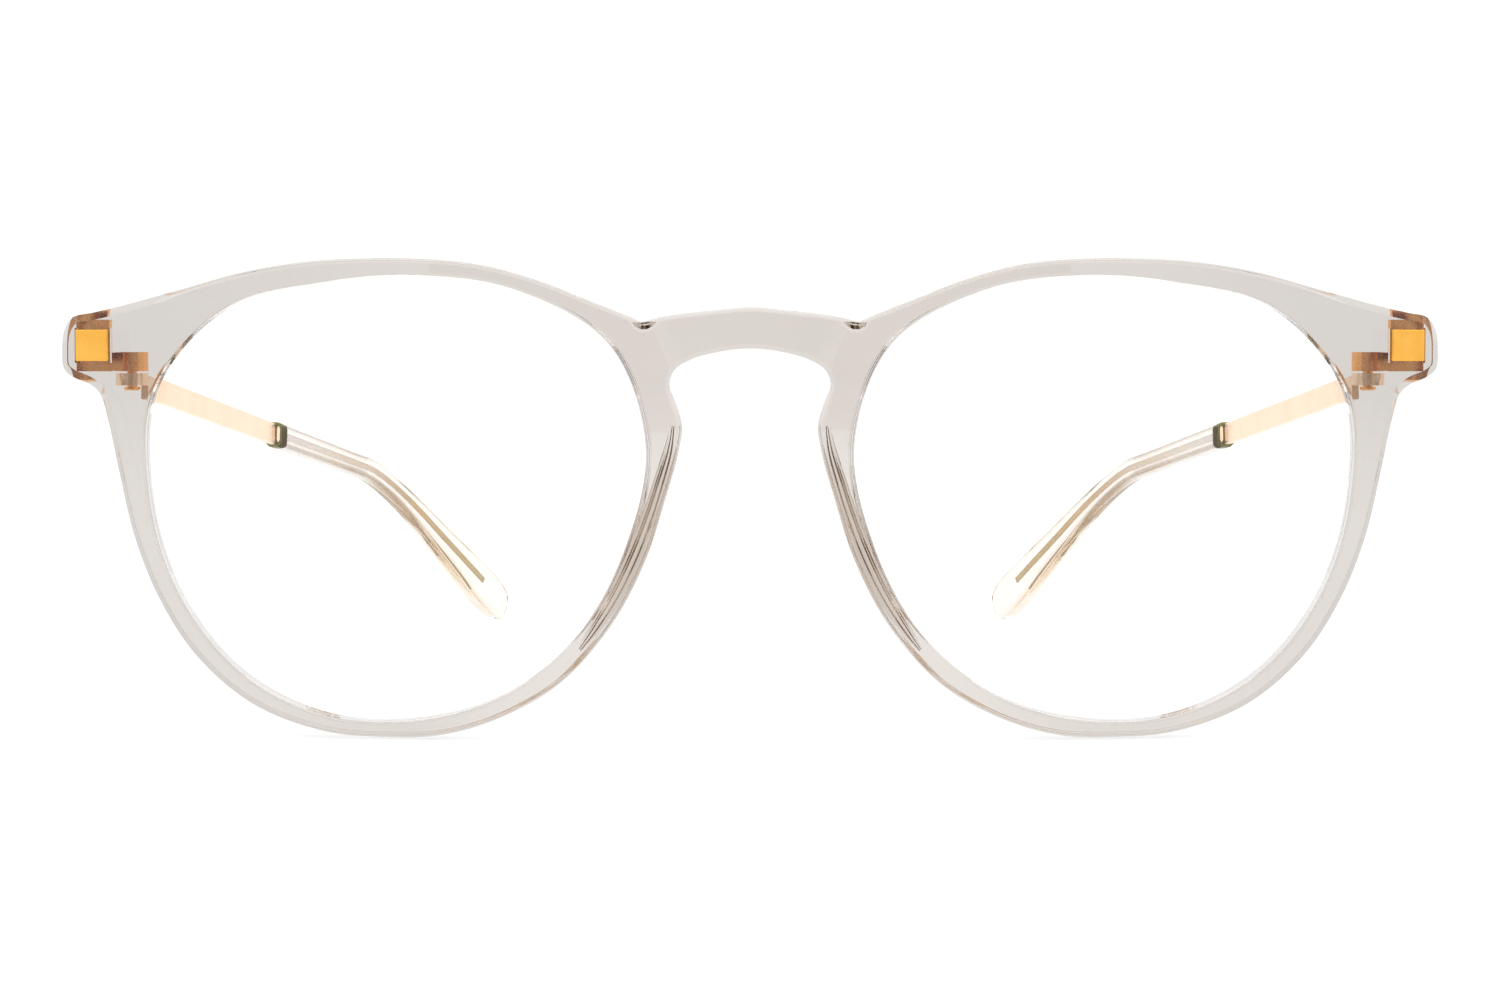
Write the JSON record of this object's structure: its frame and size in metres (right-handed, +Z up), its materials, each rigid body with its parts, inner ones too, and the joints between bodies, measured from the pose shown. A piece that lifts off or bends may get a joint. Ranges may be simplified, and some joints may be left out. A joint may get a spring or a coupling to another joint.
{
  "type": "eyeglasses",
  "caption": "Round eyeglasses with a translucent acetate front, keyhole bridge, folding gold metal temples and clear curved tips.",
  "frame": {"origin": "centre of the bounding box in plan, on the surface that the rims and the tips stand on", "axes": "+Z up, +Y from the front towards the ears, +X towards the wearer's left"},
  "size_m": [0.1354, 0.1476, 0.0465],
  "materials": {
    "front_acetate": "polished translucent champagne-grey cellulose acetate",
    "tip_acetate": "polished clear acetate with a faint warm tint",
    "lens_clear": "clear polished plano lens",
    "satin_gold": "satin gold coating on stainless sheet",
    "olive_gold": "dark olive gold, polished"
  },
  "bodies": {
    "front": {"front_frame": "front_acetate", "nose_pad_left": "front_acetate", "lens_left": "lens_clear", "front_plate_left": "satin_gold", "hinge_leaf_left": "satin_gold", "hinge_pin_left": "satin_gold", "nose_pad_right": "front_acetate", "lens_right": "lens_clear", "front_plate_right": "satin_gold", "hinge_leaf_right": "satin_gold", "hinge_pin_right": "satin_gold"},
    "temple_left": {"temple_arm_left": "satin_gold", "ferrule_left": "olive_gold", "temple_tip_left": "tip_acetate"},
    "temple_right": {"temple_arm_right": "satin_gold", "ferrule_right": "olive_gold", "temple_tip_right": "tip_acetate"}
  },
  "joints": [
    {"name": "fold_left", "type": "hinge", "parent": "front", "child": "temple_left", "pos_m": [0.06123, -0.06133, 0.034], "axis": [0, 0, 1], "range_deg": [0, 80]},
    {"name": "fold_right", "type": "hinge", "parent": "front", "child": "temple_right", "pos_m": [-0.06123, -0.06133, 0.034], "axis": [0, 0, -1], "range_deg": [0, 74]}
  ]
}
